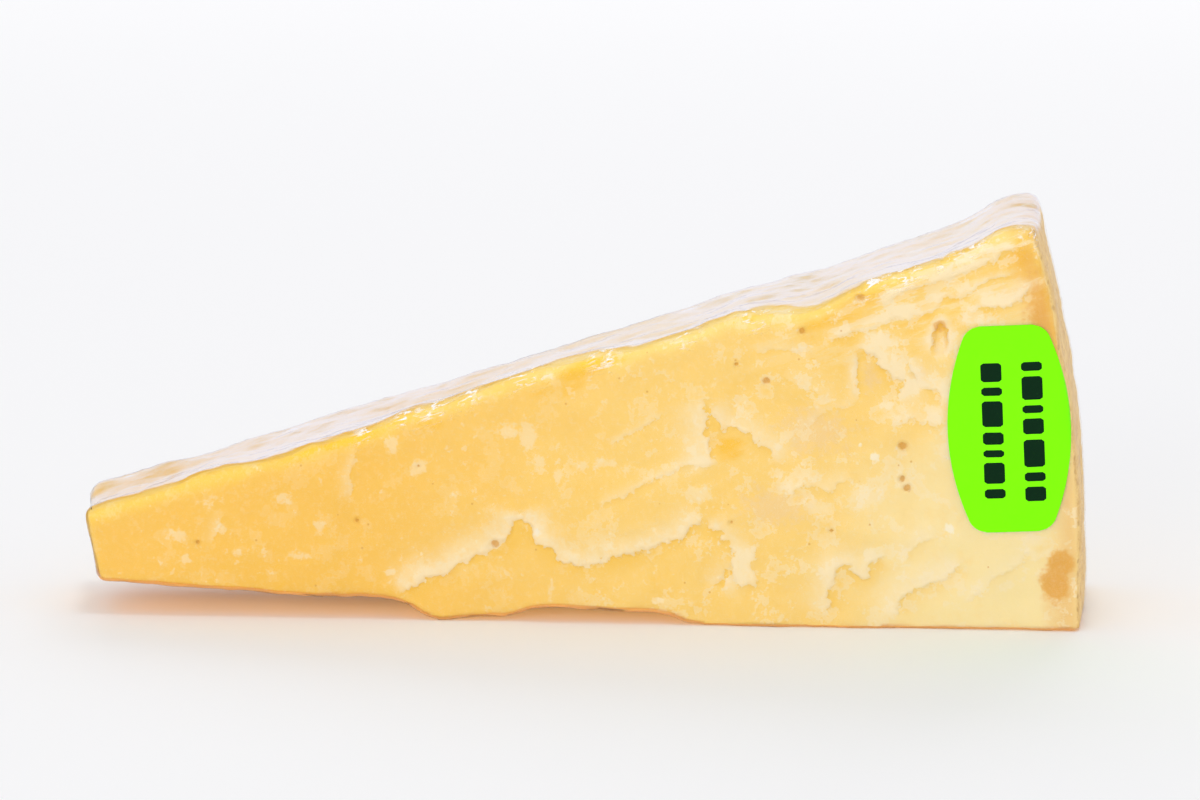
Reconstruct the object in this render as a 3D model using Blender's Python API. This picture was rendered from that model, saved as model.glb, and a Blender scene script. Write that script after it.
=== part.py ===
"""A wedge of hard grating cheese in tight clear film, with a paper label, lying on one of its long cut sides.

The wedge is cut from a round wheel whose axis lies along Y. Its underside and its top are two radial cuts
that would meet at the wheel's axis. Its blunt tip was cut off close to that axis, and its far end is the
rind. Its front and back are two cuts across the wheel, and the front carries the label.

The film can't be told from the cheese as a solid, so the wedge is one closed solid out to the film's surface.
Units are metres. +X runs from the tip to the rind, +Z is up, and the front faces -Y.
"""

import math

import bmesh
import bpy
from mathutils import Matrix, Vector, noise

MM = 0.001

# The wheel, seen from the front: its axis and its rind's radius.
WHEEL_AXIS = Vector((-127.2 * MM, 10.0 * MM))
WHEEL_RADIUS = 216.5 * MM
LOWER_CUT_DEG = -2.6
UPPER_CUT_DEG = 16.75
RIND_BULGE = 0.9 * MM  # how far the middle of the rind stands out past its front and back edges

# The blunt tip: the foot and the crown of its cut, seen from the front.
TIP_FOOT = Vector((-88.0 * MM, 5.9 * MM))
TIP_CROWN = Vector((-90.5 * MM, 19.2 * MM))
TIP_SKEW = 2.6 * MM  # the tip's back edge stands out past its front edge

# The slice across the wheel gets thinner from the rind to the tip.
RIND_WIDTH = 40.0 * MM
TIP_WIDTH = 27.0 * MM
FRONT_Y = -RIND_WIDTH / 2
LENGTH = 180.0 * MM

# Film drawn tight rounds every edge.
EDGE_RADIUS = 1.3 * MM
EDGE_STATIONS = (0.0, 0.4, 1.0)  # grid lines across a round edge, in radii

# Grid cells along X, across Y and up Z.
CELLS = (62, 10, 20)

# Lumps that hang below the lower cut: (centre x, centre y, half length, half width, drop).
UNDERSIDE_LUMPS = (
    (-25.5 * MM, -17.0 * MM, 8.5 * MM, 16.0 * MM, 5.0 * MM),
    (-15.5 * MM, -16.0 * MM, 9.5 * MM, 14.0 * MM, 3.3 * MM),
    (-19.0 * MM, 12.0 * MM, 9.0 * MM, 9.0 * MM, 4.8 * MM),
    (-50.0 * MM, -14.0 * MM, 24.0 * MM, 26.0 * MM, 1.1 * MM),
    (4.0 * MM, -12.0 * MM, 16.0 * MM, 26.0 * MM, 1.1 * MM),
)
HEEL_START = 13.0 * MM  # from here to the rind the underside comes down to a flat heel, within HEEL_RUN
HEEL_RUN = 10.0 * MM
HEEL_DROP = 3.6 * MM
HEEL_RIPPLE = 0.7 * MM  # the heel's front edge lifts off the table this far between its feet
HEEL_RIPPLE_LENGTH = 31.0 * MM
HEEL_RIPPLE_WIDTH = 7.0 * MM
UNDERSIDE_RELIEF = 0.25 * MM
UNDERSIDE_RELIEF_LENGTH = 12.0 * MM

# The top: (centre x, half length, height at the front edge, height at the back edge).
TOP_SWELLS = (
    (-68.0 * MM, 9.0 * MM, 0.9 * MM, -0.3 * MM),
    (-31.0 * MM, 7.0 * MM, 0.6 * MM, -0.3 * MM),
    (-8.0 * MM, 28.0 * MM, 1.9 * MM, -0.5 * MM),
    (27.0 * MM, 7.0 * MM, 1.4 * MM, 0.0 * MM),
    (41.0 * MM, 8.0 * MM, -1.9 * MM, -0.5 * MM),
    (75.5 * MM, 10.0 * MM, 2.2 * MM, 2.5 * MM),
)
TOP_SAG = 0.9 * MM  # the film sags this far between the front and the back edge

# Broken faces: plateaus this far apart in depth, wandering over this distance.
BREAK_DEPTH = 0.75 * MM
BREAK_LENGTH = 26.0 * MM
BREAK_SHARPNESS = 5.0
BREAK_OCTAVES = 3
BREAK_STEP_SHARE = 0.65  # the rest of the depth is a slow drift
DRIFT_SCALE = 0.7
DRIFT_OFFSET = Vector((9.0, 4.0, 2.0))

# How steeply each piece of relief fades away from the side that it is on, as powers.
RIND_FADE = 12
TIP_FADE = 6
TOP_FADE = 2
LUMP_FADE = 3
RIPPLE_FADE = 6

HILL_STEEPNESS = 2.5

# The label: a barrel shape with straight ends, on the front close to the rind.
LABEL_HEIGHT = 37.4 * MM
LABEL_WIDTH = 21.9 * MM
LABEL_END_WIDTH = 13.6 * MM
LABEL_CORNER = 2.2 * MM
LABEL_THICKNESS = 0.3 * MM
LABEL_GAP = 0.3 * MM
LABEL_CENTRE = Vector((76.2 * MM, 37.0 * MM))
LABEL_TURN_DEG = 2.7
LABEL_ARC_POINTS = 9
LABEL_CORNER_SEGMENTS = 5
LABEL_BED_MARGIN = 5.0 * MM  # the face stays flat this far round the label

CHEESE_COLOUR = (0.955, 0.640, 0.215, 1.0)
LABEL_COLOUR = (0.245, 1.0, 0.0, 1.0)


def clear_scene():
    """Removes whatever the file opened with."""
    for obj in list(bpy.data.objects):
        bpy.data.objects.remove(obj)


def mix(low, high, share):
    """The value share of the way from low to high."""
    return low + (high - low) * share


def ease(share):
    """0 up to a share of 0 and 1 from a share of 1, with a smooth way between."""
    share = max(0.0, min(1.0, share))
    return share * share * (3.0 - 2.0 * share)


def bump(offset, half_size):
    """A smooth hill: 1 at its middle, and nearly 0 at half_size from it."""
    return math.exp(-HILL_STEEPNESS * (offset / half_size) ** 2)


def gridded_box(cells):
    """A box from 0 to 1 on each axis, whose sides are grids of the given numbers of cells."""
    box = bmesh.new()
    bmesh.ops.create_cube(box, size=1.0, matrix=Matrix.Translation((0.5, 0.5, 0.5)))
    for axis, count in enumerate(cells):
        whole = [e for e in box.edges if abs(e.verts[0].co[axis] - e.verts[1].co[axis]) > 0.5]
        bmesh.ops.subdivide_edges(box, edges=whole, cuts=count - 1, use_grid_fill=True)
    return box


def station(share, cells, length):
    """Where a grid line goes, in metres: the lines are close on the round edges, and even between."""
    line = round(share * cells)
    last = len(EDGE_STATIONS) - 1
    if line <= last:
        return EDGE_STATIONS[line] * EDGE_RADIUS
    if cells - line <= last:
        return length - EDGE_STATIONS[cells - line] * EDGE_RADIUS
    inner = (line - last) / (cells - 2 * last)
    return mix(EDGE_RADIUS, length - EDGE_RADIUS, inner)


def rounded(point, size):
    """A point on a sharp box, moved to the same box with round edges."""
    inner = Vector(max(EDGE_RADIUS, min(p, s - EDGE_RADIUS)) for p, s in zip(point, size))
    outward = point - inner
    if outward.length < 1e-9:
        return point
    return inner + outward.normalized() * EDGE_RADIUS


def side_view(along, up):
    """The point of the wedge's side view, as (x, z), along from the tip and up from the lower cut."""
    tip = TIP_FOOT.lerp(TIP_CROWN, up)
    angle = math.radians(mix(LOWER_CUT_DEG, UPPER_CUT_DEG, up))
    rind = WHEEL_AXIS + WHEEL_RADIUS * Vector((math.cos(angle), math.sin(angle)))
    return tip.lerp(rind, along)


def width_at(along):
    """The slice's width from front to back."""
    return mix(TIP_WIDTH, RIND_WIDTH, along)


def height_at(along):
    """The wedge's height between its two radial cuts."""
    return (side_view(along, 1.0) - side_view(along, 0.0)).length


def label_bed(x, z):
    """0 under the label, where the face is flat, growing to 1 away from it."""
    across = max(0.0, abs(x - LABEL_CENTRE.x) - LABEL_WIDTH / 2)
    upward = max(0.0, abs(z - LABEL_CENTRE.y) - LABEL_HEIGHT / 2)
    return ease(math.hypot(across, upward) / LABEL_BED_MARGIN)


def break_depth(x, y, z):
    """How far a broken face lies behind its highest plateau: soft ground between steps, always 0 or more."""
    place = Vector((x, y, z)) / BREAK_LENGTH
    ground = noise.fractal(place, 1.0, 2.0, BREAK_OCTAVES)
    step = 0.5 + 0.5 * math.tanh(BREAK_SHARPNESS * ground)
    drift = 0.5 + 0.5 * noise.noise(place * DRIFT_SCALE + DRIFT_OFFSET)
    return BREAK_DEPTH * mix(drift, step, BREAK_STEP_SHARE)


def top_swell(x, across):
    """How far the top stands above its straight cut, at x and across from the front edge to the back edge."""
    edges = sum(bump(x - centre, half) * mix(front, back, across) for centre, half, front, back in TOP_SWELLS)
    return edges - TOP_SAG * math.sin(math.pi * across)


def underside_drop(x, y):
    """How far the underside's lumps reach below the lower cut."""
    lumps = sum(
        drop * bump(x - centre_x, half_length) * bump(y - centre_y, half_width)
        for centre_x, centre_y, half_length, half_width, drop in UNDERSIDE_LUMPS
    )
    heel = HEEL_DROP * ease((x - HEEL_START) / HEEL_RUN)
    return lumps + heel + UNDERSIDE_RELIEF * noise.noise(Vector((x, y, 0.0)) / UNDERSIDE_RELIEF_LENGTH)


def heel_ripple(x, y):
    """How far the front lower edge lifts off the table between the heel's feet."""
    start = HEEL_START + HEEL_RUN
    wave = math.sin(math.pi * (x - start) / HEEL_RIPPLE_LENGTH) ** 2
    return HEEL_RIPPLE * ease((x - start) / HEEL_RIPPLE_LENGTH) * wave * bump(y - FRONT_Y, HEEL_RIPPLE_WIDTH)


def wedge_point(corner, cells):
    """Where a corner of the unit box goes in the finished wedge."""
    along, across, up = corner
    sizes = Vector((LENGTH, width_at(along), height_at(along)))
    local = Vector(station(share, count, size) for share, count, size in zip(corner, cells, sizes))
    local = rounded(local, sizes)
    along, across, up = (local[i] / sizes[i] for i in range(3))

    x, z = side_view(along, up)
    y = FRONT_Y + local.y
    facing = 2.0 * across - 1.0  # -1 on the front and 1 on the back
    x += RIND_BULGE * along**RIND_FADE * (1.0 - facing**2)
    x -= TIP_SKEW * across * (1.0 - along) ** TIP_FADE

    bed = label_bed(x, z) if facing < 0.0 else 1.0
    y -= facing * bed * break_depth(x, y, z)

    z += top_swell(x, across) * up**TOP_FADE
    z -= underside_drop(x, y) * (1.0 - up) ** LUMP_FADE
    z += heel_ripple(x, y) * (1.0 - up) ** RIPPLE_FADE
    return Vector((x, y, max(z, 0.0)))


def principled(name, colour, roughness):
    """A plain material of one colour."""
    material = bpy.data.materials.new(name)
    material.use_nodes = True
    shader = material.node_tree.nodes["Principled BSDF"]
    shader.inputs["Base Color"].default_value = colour
    shader.inputs["Roughness"].default_value = roughness
    return material


def add_object(name, mesh, material):
    """Puts a finished mesh into the scene as one object."""
    mesh.materials.append(material)
    obj = bpy.data.objects.new(name, mesh)
    bpy.context.scene.collection.objects.link(obj)
    return obj


def make_wedge():
    """The wrapped wedge: a gridded box bent to the wheel's slice."""
    box = gridded_box(CELLS)
    for vert in box.verts:
        vert.co = wedge_point(vert.co.copy(), CELLS)
    bmesh.ops.triangulate(box, faces=box.faces[:])
    bmesh.ops.recalc_face_normals(box, faces=box.faces[:])
    mesh = bpy.data.meshes.new("parmesan_chunk")
    box.to_mesh(mesh)
    box.free()
    mesh.shade_smooth()
    return add_object("parmesan_chunk", mesh, principled("cheese", CHEESE_COLOUR, 0.45))


def label_outline():
    """The label's outline before its corners are rounded: two straight ends joined by two bowed sides."""
    half_height = LABEL_HEIGHT / 2
    bow = (LABEL_WIDTH - LABEL_END_WIDTH) / 2
    radius = (half_height**2 + bow**2) / (2 * bow)
    reach = math.asin(half_height / radius)
    angles = [mix(-reach, reach, i / (LABEL_ARC_POINTS - 1)) for i in range(LABEL_ARC_POINTS)]
    centre = LABEL_WIDTH / 2 - radius
    right = [Vector((centre + radius * math.cos(a), radius * math.sin(a), 0.0)) for a in angles]
    left = [Vector((-p.x, -p.y, 0.0)) for p in right]
    return right + left


def make_label():
    """The paper label, flat on the front face."""
    plate = bmesh.new()
    verts = [plate.verts.new(point) for point in label_outline()]
    plate.faces.new(verts)
    ends = [verts[i] for i in (0, LABEL_ARC_POINTS - 1, LABEL_ARC_POINTS, 2 * LABEL_ARC_POINTS - 1)]
    bmesh.ops.bevel(
        plate, geom=ends, offset=LABEL_CORNER, segments=LABEL_CORNER_SEGMENTS, profile=0.5, affect="VERTICES"
    )
    raised = bmesh.ops.extrude_face_region(plate, geom=list(plate.faces))
    top = [item for item in raised["geom"] if isinstance(item, bmesh.types.BMVert)]
    bmesh.ops.translate(plate, verts=top, vec=(0.0, 0.0, LABEL_THICKNESS))
    bmesh.ops.recalc_face_normals(plate, faces=plate.faces[:])
    mesh = bpy.data.meshes.new("label")
    plate.to_mesh(mesh)
    plate.free()
    label = add_object("label", mesh, principled("label_paper", LABEL_COLOUR, 0.5))
    facing_front = Matrix.Rotation(math.radians(90.0), 4, "X")
    turn = Matrix.Rotation(math.radians(LABEL_TURN_DEG), 4, "Z")
    place = Matrix.Translation((LABEL_CENTRE.x, FRONT_Y - LABEL_GAP, LABEL_CENTRE.y))
    label.matrix_world = place @ facing_front @ turn
    return label


def centre_on_origin(objects):
    """Moves everything so that the origin is under the middle of the whole object, on the table."""
    bpy.context.view_layer.update()
    points = [obj.matrix_world @ vert.co for obj in objects for vert in obj.data.vertices]
    low = Vector(min(p[i] for p in points) for i in range(3))
    high = Vector(max(p[i] for p in points) for i in range(3))
    shift = Vector(((low.x + high.x) / 2, (low.y + high.y) / 2, low.z))
    for obj in objects:
        obj.location -= shift


def main():
    clear_scene()
    centre_on_origin([make_wedge(), make_label()])


main()
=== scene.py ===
"""The looks of a wedge of hard grating cheese in tight clear film, with a label on the film.

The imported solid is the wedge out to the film's surface. Here it becomes a cheese with broken flakes, eyes,
crystals and a dotted rind, a film over it, and a label with its print. All pieces are built from the solid
itself, so they have its place and size. Sizes are in millimetres where their names end in _mm or a docstring
says so, and in metres otherwise. +X runs from the tip to the rind, the front faces -Y, and +Z is up.
"""

import logging
import math
from collections.abc import Iterable, Mapping
from dataclasses import dataclass
from enum import Enum

import bpy
import numpy as np
from mathutils import Euler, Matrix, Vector, noise
from mathutils.bvhtree import BVHTree


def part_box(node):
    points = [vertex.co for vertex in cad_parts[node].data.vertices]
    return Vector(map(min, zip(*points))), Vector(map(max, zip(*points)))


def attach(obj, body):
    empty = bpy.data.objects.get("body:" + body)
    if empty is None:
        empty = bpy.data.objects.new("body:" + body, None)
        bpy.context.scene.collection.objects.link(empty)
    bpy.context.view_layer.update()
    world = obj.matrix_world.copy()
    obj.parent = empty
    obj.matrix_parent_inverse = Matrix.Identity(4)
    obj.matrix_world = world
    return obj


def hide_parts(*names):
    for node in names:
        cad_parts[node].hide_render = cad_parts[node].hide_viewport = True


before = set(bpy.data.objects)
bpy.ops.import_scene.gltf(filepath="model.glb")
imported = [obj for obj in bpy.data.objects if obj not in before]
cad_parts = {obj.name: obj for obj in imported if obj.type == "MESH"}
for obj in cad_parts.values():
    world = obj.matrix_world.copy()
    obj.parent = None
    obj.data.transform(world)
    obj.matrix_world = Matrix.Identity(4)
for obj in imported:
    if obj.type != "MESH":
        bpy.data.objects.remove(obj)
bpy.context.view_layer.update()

MM = 0.001
MERGE_MM = 0.001
LUMP_MM = 0.4
LUMP_SIZE_MM = 9.0
FLAT_MM = 0.05
BODY = "root"

Colour = tuple[float, float, float]
Socket = bpy.types.NodeSocket
Array = np.ndarray
log = logging.getLogger("cheese")


def tone(red: int, green: int, blue: int) -> Colour:
    """Turns a colour as a screen shows it, from 0 to 255, into a linear one.

    Args:
        red: The amount of red.
        green: The amount of green.
        blue: The amount of blue.

    Returns:
        The linear colour, as a material takes it.
    """
    shown = (part / 255 for part in (red, green, blue))
    return tuple(part / 12.92 if part < 0.04045 else ((part + 0.055) / 1.055) ** 2.4 for part in shown)


def ease(values: Array, low: float, high: float) -> Array:
    """A smooth step from 0 at low to 1 at high."""
    share = np.clip((values - low) / (high - low), 0.0, 1.0)
    return share * share * (3.0 - 2.0 * share)


def ground(points: Array, size: float, octaves: int, seed: float) -> Array:
    """Soft random ground.

    Args:
        points: Places, in millimetres, one row each.
        size: The largest lumps' size, in millimetres.
        octaves: How many finer layers the ground has.
        seed: Picks one of many grounds.

    Returns:
        One number for each place, about -1 to 1.
    """
    start = Vector((seed, seed * 1.7, seed * 0.3))
    return np.array([noise.fractal(Vector(p) / size + start, 1.0, 2.0, octaves) for p in points])


# --------------------------------------
# Materials


class Value:
    """A number that a node gives out, which can be used in plain expressions."""

    def __init__(self, nodes: "Nodes", socket: Socket) -> None:
        """Wraps one socket of a node tree."""
        self.nodes = nodes
        self.socket = socket

    def math(self, operation: str, *others: "Value | float") -> "Value":
        """Adds a Math node that starts from this number."""
        node = self.nodes.add("ShaderNodeMath", {"operation": operation}, dict(enumerate((self, *others))))
        return Value(self.nodes, node.outputs[0])

    def __add__(self, other: "Value | float") -> "Value":
        """The sum."""
        return self.math("ADD", other)

    __radd__ = __add__

    def __sub__(self, other: "Value | float") -> "Value":
        """The difference."""
        return self.math("SUBTRACT", other)

    def __rsub__(self, other: float) -> "Value":
        """A plain number less this one."""
        return self.math("MULTIPLY_ADD", -1.0, other)

    def __mul__(self, other: "Value | float") -> "Value":
        """The product."""
        return self.math("MULTIPLY", other)

    __rmul__ = __mul__

    def __truediv__(self, other: "Value | float") -> "Value":
        """The quotient."""
        return self.math("DIVIDE", other)

    def __pow__(self, power: float) -> "Value":
        """A power."""
        return self.math("POWER", power)

    def __abs__(self) -> "Value":
        """The size without its sign."""
        return self.math("ABSOLUTE")

    def most(self, other: "Value | float") -> "Value":
        """The larger of the two."""
        return self.math("MAXIMUM", other)

    def least(self, other: "Value | float") -> "Value":
        """The smaller of the two."""
        return self.math("MINIMUM", other)

    def held(self) -> "Value":
        """This number, kept between 0 and 1."""
        return self.most(0.0).least(1.0)

    def step(self, low: float, high: float) -> "Value":
        """A smooth step.

        Args:
            low: Where the step is 0. It may be the larger of the two.
            high: Where the step is 1.

        Returns:
            The share of the step that this number has reached.
        """
        settings = {"interpolation_type": "SMOOTHSTEP"}
        inputs = {"Value": self, "From Min": low, "From Max": high}
        return Value(self.nodes, self.nodes.add("ShaderNodeMapRange", settings, inputs).outputs[0])


class Nodes:
    """The nodes of a material or a world, added one after another."""

    def __init__(self, owner: bpy.types.Material | bpy.types.World) -> None:
        """Starts with none."""
        owner.use_nodes = True
        self.owner = owner
        self.tree = owner.node_tree
        self.tree.nodes.clear()

    def add(
        self, kind: str, settings: Mapping | None = None, inputs: Mapping | None = None
    ) -> bpy.types.Node:
        """Adds a node.

        Args:
            kind: The node's type.
            settings: Its own settings, which are set first.
            inputs: A number, a colour, a Value or a socket for each input, by name or by place.

        Returns:
            The new node.
        """
        node = self.tree.nodes.new(kind)
        for key, value in (settings or {}).items():
            setattr(node, key, value)
        for key, value in (inputs or {}).items():
            socket = value.socket if isinstance(value, Value) else value
            if isinstance(socket, Socket):
                self.tree.links.new(socket, node.inputs[key])
            elif isinstance(value, tuple) and len(value) == 3 and node.inputs[key].type == "RGBA":
                node.inputs[key].default_value = (*value, 1.0)
            else:
                node.inputs[key].default_value = value
        return node

    def place_mm(self) -> Socket:
        """The place on the piece, in millimetres, as a vector."""
        inputs = {0: self.add("ShaderNodeTexCoord").outputs["Object"], "Scale": 1.0 / MM}
        return self.add("ShaderNodeVectorMath", {"operation": "SCALE"}, inputs).outputs[0]

    def parts(self, vector: Socket) -> tuple[Value, Value, Value]:
        """A vector's three numbers."""
        node = self.add("ShaderNodeSeparateXYZ", {}, {0: vector})
        return tuple(Value(self, output) for output in node.outputs)

    def attribute(self, name: str) -> tuple[Value, Value, Value]:
        """The three numbers that the mesh keeps under a name."""
        node = self.add("ShaderNodeAttribute", {"attribute_type": "GEOMETRY", "attribute_name": name})
        return self.parts(node.outputs["Vector"])

    def noise(self, place: Socket, size: float, detail: float = 3.0, rough: float = 0.55) -> Value:
        """Soft random values.

        Args:
            place: Where on the piece they are read.
            size: The largest lumps' size, in the place's own units.
            detail: How many finer layers there are.
            rough: How strong the finer layers are.

        Returns:
            A number that is mostly from -1 to 1.
        """
        inputs = {"Vector": place, "Scale": 1.0 / size, "Detail": detail, "Roughness": rough}
        return (Value(self, self.add("ShaderNodeTexNoise", {}, inputs).outputs["Fac"]) - 0.5) * 4.0

    def vector(self, *numbers: "Value | float") -> Socket:
        """A vector of up to three numbers."""
        return self.add("ShaderNodeCombineXYZ", {}, dict(enumerate(numbers))).outputs[0]

    def blend(self, share: Value, first: "Socket | Colour", second: "Socket | Colour") -> Socket:
        """A colour that goes from the first to the second as share goes from 0 to 1."""
        node = self.add("ShaderNodeMix", {"data_type": "RGBA"}, {0: share, 6: first, 7: second})
        return node.outputs[2]

    def bump(self, height_mm: Value, strength: float = 1.0) -> Socket:
        """A normal that leans as a surface of this height, in millimetres, would."""
        inputs = {"Height": height_mm, "Distance": MM, "Strength": strength}
        return self.add("ShaderNodeBump", {}, inputs).outputs["Normal"]

    def finish(self, shader: bpy.types.Node) -> bpy.types.Material:
        """Ends a material. Its faint glow, such as the painted glow under the cheese, isn't sampled as a
        lamp, which would be slow.

        Args:
            shader: The last shader.

        Returns:
            The material.
        """
        self.add("ShaderNodeOutputMaterial", {}, {"Surface": shader.outputs[0]})
        self.owner.cycles.emission_sampling = "NONE"
        return self.owner


class Surface:
    """A place on the cheese as its material sees it: where it is, and the random values there."""

    def __init__(self, nodes: Nodes) -> None:
        """Reads the place, and values in lumps from the largest to the smallest."""
        self.place = nodes.place_mm()
        self.along, self.across, self.up = nodes.parts(self.place)
        self.cloud = nodes.noise(self.place, 14.0, 4.0)
        self.middle = nodes.noise(self.place, 2.4, 3.0, 0.6)
        self.fine = nodes.noise(self.place, 1.0, 3.0, 0.6)
        self.grain = nodes.noise(self.place, 0.3, 2.0)
        self.ragged = self.middle * 0.45 + self.fine * 0.5


@dataclass(frozen=True)
class CheeseFinish:
    """Hard granular paste that turns ochre towards the rind, and the rind's own dotted skin, with painted
    shade and a painted glow on the underside.
    """

    gold: Colour = tone(254, 213, 96)
    straw: Colour = tone(255, 224, 132)
    cream: Colour = tone(255, 238, 182)
    pale: Colour = tone(255, 242, 208)
    deep: Colour = tone(254, 210, 60)
    pink: Colour = tone(250, 222, 160)
    ochre: Colour = tone(240, 186, 76)
    eye: Colour = tone(218, 160, 40)
    crystal: Colour = tone(255, 250, 232)
    skin: Colour = tone(255, 222, 146)
    skin_dark: Colour = tone(216, 168, 98)
    # Painted shade: a deep orange on the faces that look down, standing in for shade and light through the
    # paste under the wedge.
    below: Colour = tone(238, 142, 14)
    # Painted light: the underside near the front glows with this colour, standing in for light that passes
    # through the paste onto the floor below.
    glow: Colour = (0.31, 0.235, 0.08)
    painted_glow_from_mm: float = 8.0
    painted_glow_full_mm: float = -14.0
    straw_from_mm: float = -50.0
    straw_full_mm: float = 20.0
    cream_from_mm: float = 34.0
    cream_full_mm: float = 72.0
    cream_height_mm: float = 22.0
    rind_tone_mm: float = 7.0
    edge_mm: float = 0.12
    layer_turn: float = math.radians(18.5)
    top_mm: float = 43.5
    speck_spacing_mm: float = 4.5
    dot_spacing_mm: float = 2.3
    dot_radius_mm: float = 0.55

    def edges(self, nodes: Nodes, at: Surface) -> tuple[Value, Value, Value]:
        """Where the edges of broken flakes show.

        Args:
            nodes: The material's nodes.
            at: The place.

        Returns:
            The pale rim on the flake, the deeper colour below the edge (the paste's own tone, partly painted
            shade at the step's foot), and the rim's height.
        """
        pale, foot_tone_and_shade, lip = 0.0, 0.0, 0.0
        for cut, amount in zip(nodes.attribute("cut"), nodes.attribute("amount")):
            edge = (cut + at.ragged).step(-self.edge_mm, self.edge_mm)
            pale = edge * amount + pale
            # Partly painted shade: the deeper colour on the low side of each break, at the foot of the step.
            foot_tone_and_shade = (1.0 - edge) * amount**3.0 + foot_tone_and_shade
            lip = edge * amount**2.0 + lip
        return pale, foot_tone_and_shade, lip

    def layers(self, nodes: Nodes, at: Surface) -> tuple[Value, Value]:
        """The layers that lie along the upper edge.

        Args:
            nodes: The material's nodes.
            at: The place.

        Returns:
            The layers' own random values, and how far they show.
        """
        slope = math.tan(self.layer_turn)
        lying = nodes.vector(at.along * 0.22, at.across * 0.4, at.up - at.along * slope)
        below_top = at.along * slope + self.top_mm - at.up + at.cloud * 3.0
        return nodes.noise(lying, 2.2, 4.0, 0.62), below_top.step(17.0, 4.0) * at.along.step(24.0, 56.0)

    def pale_share(self, nodes: Nodes, at: Surface, rims: Value, blotch: Value, ochre: Value) -> Value:
        """Where the paste is pale.

        Args:
            nodes: The material's nodes.
            at: The place.
            rims: The pale rims of broken flakes.
            blotch: The field of the pale blotches.
            ochre: How ochre the paste is.

        Returns:
            How pale it is, without the bands along the upper edge. It may pass 1.
        """
        drift = nodes.noise(at.place, 6.0, 5.0, 0.7)
        shown = (at.along + at.cloud * 30.0).step(-20.0, 60.0) * 0.45 + 0.2
        drifts = drift.step(0.15, 0.3) * drift.step(0.9, 0.2) * shown * (1.0 - ochre * 0.8)
        spots = (blotch + at.middle * 0.6 + at.fine * 0.4).step(0.0, 0.7)
        flecks = (nodes.noise(at.place, 1.9, 3.0, 0.6) + at.cloud * 0.3).step(0.55, 0.8)
        rims = rims * (0.9 + at.fine * 0.25 + at.middle * 0.2)
        return rims + spots * 0.6 + drifts + flecks * 0.42

    def paste(self, nodes: Nodes, at: Surface, wheel: "Wheel", rims: Value, foot_tone_and_shade: Value) -> Socket:
        """The colour of the cheese inside its rind.

        Args:
            nodes: The material's nodes.
            at: The place.
            wheel: The wheel that the wedge was cut from.
            rims: The pale rims of broken flakes.
            foot_tone_and_shade: The deeper colour below broken edges, partly the paste's tone and partly
                painted shade at the foot of each step.

        Returns:
            The colour.
        """
        eye, blotch, crystal = nodes.attribute("marks")
        deep, pink, ochre = nodes.attribute("tints")
        ochre = (ochre + at.ragged * 0.35).step(0.0, 0.45)
        layers, layered = self.layers(nodes, at)
        pale = self.pale_share(nodes, at, rims, blotch, ochre) + layers.step(0.12, 0.3) * layered * 0.55
        inputs = {"Vector": at.place, "Scale": 1.0 / self.speck_spacing_mm}
        cells = nodes.add("ShaderNodeTexVoronoi", {}, inputs)
        specks = Value(nodes, cells.outputs["Distance"]).step(0.06, 0.03)
        from_axis = ((at.along - wheel.axis_x_mm) ** 2.0 + (at.up - wheel.axis_z_mm) ** 2.0).math("SQRT")
        depth = wheel.radius_mm - from_axis + at.cloud * 1.6 + at.middle * 0.8
        drifting = at.along + at.cloud * 12.0
        drier = drifting - (at.up - self.cream_height_mm).most(0.0) * 0.75

        colour = self.gold
        for share, tint in (
            (drifting.step(self.straw_from_mm, self.straw_full_mm), self.straw),
            (drier.step(self.cream_from_mm, self.cream_full_mm), self.cream),
            ((at.cloud * 0.9 + at.middle * 0.4 - 0.2).held() * 0.4, self.deep),
            (layers.step(0.0, -0.35) * layered * 0.5, self.deep),
            ((pink + at.ragged * 0.7).step(0.0, 0.8) * 0.8, self.pink),
            ((deep + layers * 0.5 + at.ragged * 0.35).step(0.0, 0.8) * 0.9, self.deep),
            (ochre * 0.9, self.ochre),
            ((at.fine * 0.6 + at.grain * 0.5).held() * 0.3, self.pale),
            # The foot of each step: partly the paste's tone, partly painted shade.
            (foot_tone_and_shade.held() * 0.45, self.deep),
            (depth.step(self.rind_tone_mm, 1.0) * 0.5, self.ochre),
            (pale.held() * (1.0 - ochre * 0.75) * 0.85, self.pale),
            ((eye + at.fine * 0.3).step(0.0, 0.5) * 0.75, self.eye),
            (specks * 0.5, self.eye),
            ((crystal + at.fine * 0.5).step(0.0, 0.5) * 0.8, self.crystal),
        ):
            colour = nodes.blend(share, colour, tint)
        return colour

    def rind_dots(self, nodes: Nodes, at: Surface, wheel: "Wheel") -> Value:
        """Small dots pressed into the rind, with random gaps.

        Args:
            nodes: The material's nodes.
            at: The place.
            wheel: The wheel that the wedge was cut from.

        Returns:
            1 inside a dot and 0 outside.
        """
        turn = (at.up - wheel.axis_z_mm).math("ARCTAN2", at.along - wheel.axis_x_mm)
        flat = nodes.vector(turn * wheel.radius_mm, at.across)
        inputs = {"Vector": flat, "Scale": 1.0 / self.dot_spacing_mm, "Randomness": 0.45}
        cells = nodes.add("ShaderNodeTexVoronoi", {"voronoi_dimensions": "2D"}, inputs)
        distance = Value(nodes, cells.outputs["Distance"]) * self.dot_spacing_mm
        chance, _, _ = nodes.parts(cells.outputs["Color"])
        return distance.step(self.dot_radius_mm, self.dot_radius_mm * 0.5) * chance.step(0.45, 0.5)

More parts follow.
